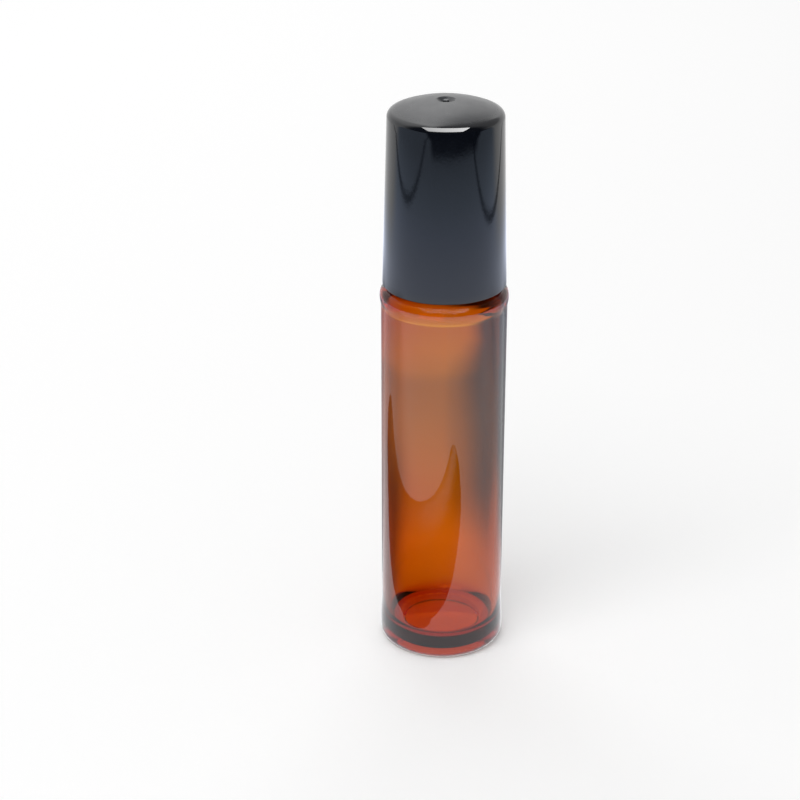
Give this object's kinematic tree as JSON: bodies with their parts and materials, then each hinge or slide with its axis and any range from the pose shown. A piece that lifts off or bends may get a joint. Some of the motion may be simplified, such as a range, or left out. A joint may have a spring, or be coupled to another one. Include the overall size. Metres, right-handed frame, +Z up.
{
  "type": "roll on bottle",
  "caption": "Slim round amber glass bottle with a steel roller ball in a plastic housing, under a tall glossy black screw cap with a domed top and a sealing liner.",
  "frame": {"origin": "centre of the base, on the ring that the bottle stands on", "axes": "+Z up along the bottle's axis, towards the cap; the object is round, so +X and +Y are any two horizontal directions"},
  "size_m": [0.0195, 0.0194, 0.0889],
  "materials": {
    "amber_glass": "clear amber soda-lime glass, polished",
    "natural_plastic": "unpigmented polyethylene, milky",
    "polished_steel": "polished stainless steel",
    "seal_foam": "white soft polyethylene",
    "liner_plastic": "moulded black polypropylene",
    "black_gloss": "glossy moulded black"
  },
  "bodies": {
    "bottle": {"glass_bottle": "amber_glass", "roller_housing": "natural_plastic"},
    "ball": {"roller_ball": "polished_steel"},
    "seal": {"seal_pad": "seal_foam"},
    "cap": {"cap_liner": "liner_plastic", "cap_shell": "black_gloss"}
  },
  "joints": [
    {"name": "ball_roll", "type": "hinge", "parent": "bottle", "child": "ball", "pos_m": [0, 0, 0.0755], "axis": [1, 0, 0], "continuous": true},
    {"name": "cap_lift", "type": "slide", "parent": "bottle", "child": "seal", "axis": [0, 0, 1], "range_m": [0, 0.021]},
    {"name": "cap_turn", "type": "hinge", "parent": "seal", "child": "cap", "pos_m": [0, 0, 0.06045], "axis": [0, 0, 1], "range_deg": [0, 2520]}
  ],
  "couplings": [
    {"joint": "cap_turn", "follows": "cap_lift", "rad_per_m": 2094.4}
  ]
}
